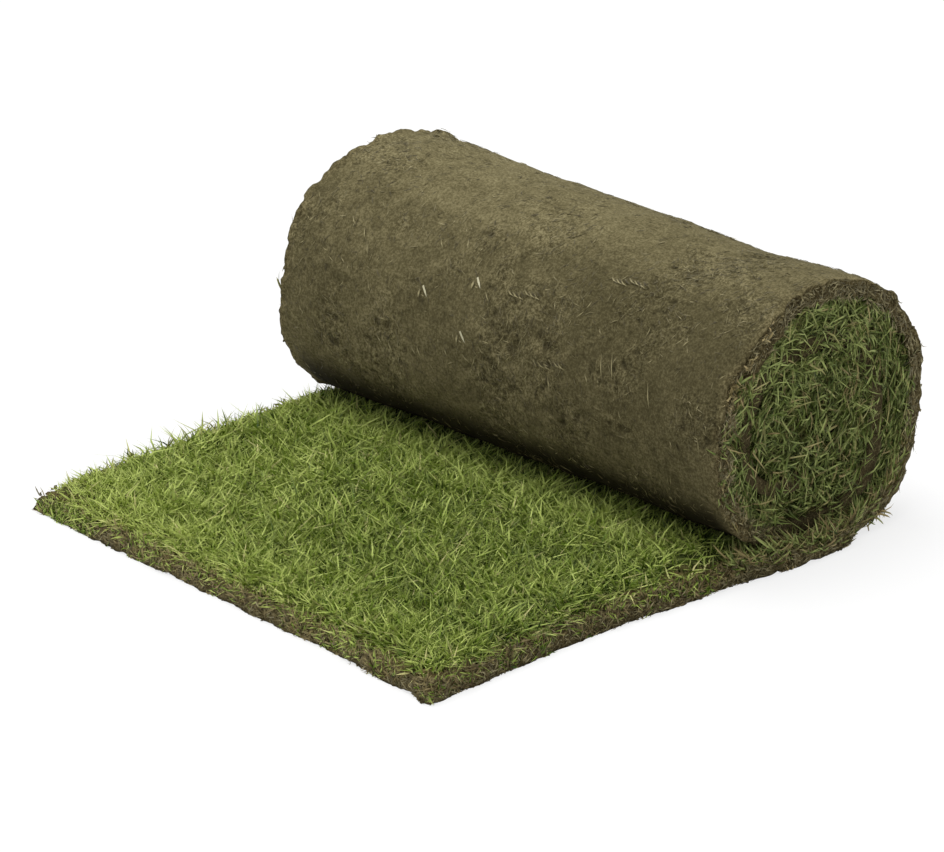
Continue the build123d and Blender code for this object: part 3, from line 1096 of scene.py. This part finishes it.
# Random places on the cut ends of the outer turn, with the way out from its face and the side
def aroundEnds(rng, count, deepest, lift=0.0):
    side = np.where(rng.random(count) < 0.7, 1.0, -1.0)
    along = rng.uniform(0.0, outerTurn, count)
    points, outward, _ = onStrip(side * halfWidth, along, rng.uniform(0.001, deepest, count))
    placed = breakUp(points, points, soilEdge["rough"])
    placed[:, 0] += side * lift + rimShiftAt(side, along)
    return placed, outward, side


# Crumbs of earth on the rims, the cut faces and the edges of the tongue
crumbs = {
    "ends": 1500, "endSeed": 67, "tongue": 1300, "tongueSeed": 71, "small": 0.0008, "large": 0.0030,
    "deepest": 0.016}
crumbCorners = np.array([[1, 0, 0], [0, 1, 0], [-1, 0, 0], [0, -1, 0], [0, 0, 1], [0, 0, -1]], dtype=float)
crumbFaces = np.array([
    [0, 1, 4], [1, 2, 4], [2, 3, 4], [3, 0, 4], [1, 0, 5], [2, 1, 5], [3, 2, 5], [0, 3, 5]])


def makeCrumbs(name, centres, rng):
    count = len(centres)
    sizes = crumbs["small"] + (crumbs["large"] - crumbs["small"]) * rng.random(count) ** 2.5
    shape = crumbCorners[None] * rng.uniform(0.5, 1.2, (count, 6, 1)) + rng.normal(0, 0.15, (count, 6, 3))
    first = randomWays(rng, count)
    second = unit(np.cross(first, rng.normal(size=(count, 3))))
    spin = np.stack([first, second, np.cross(first, second)], axis=1)
    vertices = centres[:, None] + np.einsum("nij,njk->nik", shape, spin) * sizes[:, None, None]
    faces = (np.arange(count)[:, None, None] * 6 + crumbFaces[None]).reshape(-1, 3)
    tint = np.repeat(soilTint(centres, rng.uniform(0.3, 1.0, count)), 6, axis=0)
    makePiece(name, vertices.reshape(-1, 3), [faces], soilMaterial, tint, smooth=False)


def makeEndCrumbs():
    rng = np.random.default_rng(crumbs["endSeed"])
    placed, _, _ = aroundEnds(rng, crumbs["ends"], crumbs["deepest"])
    makeCrumbs("endCrumbs", placed, rng)


def makeTongueCrumbs():
    rng = np.random.default_rng(crumbs["tongueSeed"])
    across, reach, facing, _, _ = aroundTongue(rng, crumbs["tongue"], 0.5, 0.62, -0.3)
    z = rng.uniform(0.0, soilDepth, crumbs["tongue"])
    makeCrumbs("tongueCrumbs", onCutFace(across, reach, z, facing)[1], rng)


# Roots and stems that show in the cut faces of the soil
faceRoots = {
    "seed": 73, "ends": 2600, "tongue": 1700, "length": 0.010, "width": 0.0013, "lift": 0.0004,
    "deepest": 0.019}


def makeFaceRoots():
    rng = np.random.default_rng(faceRoots["seed"])
    ends, outward, side = aroundEnds(rng, faceRoots["ends"], faceRoots["deepest"], faceRoots["lift"])
    across, reach, tongueFacing, _, _ = aroundTongue(rng, faceRoots["tongue"], 0.6, 0.6, -0.3)
    z = rng.uniform(0.001, soilDepth, faceRoots["tongue"])
    _, sides = onCutFace(across, reach, z, tongueFacing)
    starts = np.concatenate([ends, sides + tongueFacing * faceRoots["lift"]])
    outward = np.concatenate([outward, np.zeros((faceRoots["tongue"], 3))])
    facing = np.concatenate([vectors(side, 0, 0), tongueFacing])
    count = len(starts)
    ways = unit(np.cross(facing, randomWays(rng, count)))
    past = np.maximum((ways * outward).sum(axis=1), 0)
    ways = blend((ways, 1.0), (outward, -1.1 * past), (facing, rng.uniform(0.0, 0.25, count)))
    blades = dict(
        roots=starts, ways=ways,
        bends=np.cross(facing, ways) * rng.normal(0, 0.4, count)[:, None] - facing * 0.15,
        lengths=faceRoots["length"] * rng.uniform(0.4, 1.3, count),
        widths=faceRoots["width"] * rng.uniform(0.6, 1.3, count),
        greens=rng.random(count) ** 0.8, dryness=rng.uniform(0, 0.66, count), facing=facing, twist=0.4)
    growBlades("faceRoots", blades, rootMaterial)


# Camera: angles in degrees, lens in millimetres, the rest in metres
view = {
    "lens": 264.5, "azimuth": 45.3, "elevation": 21.8, "distance": 6.9843,
    "acrossShift": -0.1223, "upShift": 0.0387, "rollMiddleY": 0.1885,
}


def makeCamera():
    a, e = math.radians(view["azimuth"]), math.radians(view["elevation"])
    back = np.array([math.sin(a) * math.cos(e), -math.cos(a) * math.cos(e), math.sin(e)])
    right = np.array([math.cos(a), math.sin(a), 0.0])
    place = back * view["distance"] + right * view["acrossShift"] + np.cross(back, right) * view["upShift"]
    place[1] += view["rollMiddleY"]
    data = bpy.data.cameras.new("camera")
    data.lens = view["lens"]
    data.sensor_width = 36
    data.clip_end = 60
    camera = addObject("camera", data)
    camera.location = place
    camera.rotation_euler = (math.radians(90 - view["elevation"]), 0, a)
    bpy.context.scene.camera = camera


# Mixes two shaders, the second for the camera alone; returns the two sockets still to be joined
def cameraOnly(tree, first, second, target):
    path = addNode(tree, "LightPath")
    mix = addNode(tree, "MixShader")
    tree.links.new(first, mix.inputs[1])
    tree.links.new(second, mix.inputs[2])
    tree.links.new(mix.outputs["Shader"], target)
    return path.outputs["Is Camera Ray"], mix.inputs["Fac"]


# White floor that keeps its shadow: the camera sees it partly as plain white
floorPaper = {"half": 12.0, "tone": 0.86, "whiteShare": 0.74}


def makeFloor():
    mesh = bpy.data.meshes.new("floor")
    half = floorPaper["half"]
    corners = [(-half, -half, 0), (half, -half, 0), (half, half, 0), (-half, half, 0)]
    mesh.from_pydata(corners, [], [(0, 1, 2, 3)])
    floor = addObject("floor", mesh)
    material, tree, shader = newMaterial("floorPaper", 0.9, 0.0)
    shader.inputs["Base Color"].default_value = (*[floorPaper["tone"]] * 3, 1)
    glow = addNode(tree, "Emission")
    surface = tree.nodes["Material Output"].inputs["Surface"]
    cameraRay, factor = cameraOnly(tree, shader.outputs["BSDF"], glow.outputs["Emission"], surface)
    share = addNode(tree, "Math")
    share.operation = "MULTIPLY"
    share.inputs[1].default_value = floorPaper["whiteShare"]
    tree.links.new(cameraRay, share.inputs[0])
    tree.links.new(share.outputs[0], factor)
    mesh.materials.append(material)


# Soft light from all round and a wide sun from above; tilt and angle in degrees
lights = {"world": 0.58, "sun": 2.6, "sunAngle": 50, "sunTilt": (2, -12)}


def makeLight():
    world = bpy.data.worlds.new("studio")
    bpy.context.scene.world = world
    world.use_nodes = True
    tree = world.node_tree
    ambient = tree.nodes["Background"]
    ambient.inputs["Color"].default_value = white
    ambient.inputs["Strength"].default_value = lights["world"]
    backdrop = addNode(tree, "Background", Color=white, Strength=1.0)
    surface = tree.nodes["World Output"].inputs["Surface"]
    sockets = cameraOnly(tree, ambient.outputs["Background"], backdrop.outputs["Background"], surface)
    tree.links.new(*sockets)
    data = bpy.data.lights.new("softSun", "SUN")
    data.energy = lights["sun"]
    data.angle = math.radians(lights["sunAngle"])
    sun = addObject("softSun", data)
    sun.rotation_euler = [math.radians(v) for v in (*lights["sunTilt"], 0)]


makeCamera()
makeFloor()
makeLight()
print("camera, floor and light made")
makeSoilSkin()
makeTongueSoil()
makeThatch()
print("soil and felt made")
for side in (1, -1):
    makeSoilEdge(side)
    makeEndFelt(side)
    makeEndGrass(side)
    makeSpilledGrass(side)
print("ends of the roll made")
makeLawn()
makeFlatStems()
makeHangingStems()
makeRimTufts()
print("lawn made")
makeSkinFibres()
makePaleRoots()
makeEndCrumbs()
makeTongueCrumbs()
makeFaceRoots()
print("fibres and crumbs made")

bpy.context.scene.view_settings.view_transform = "Standard"
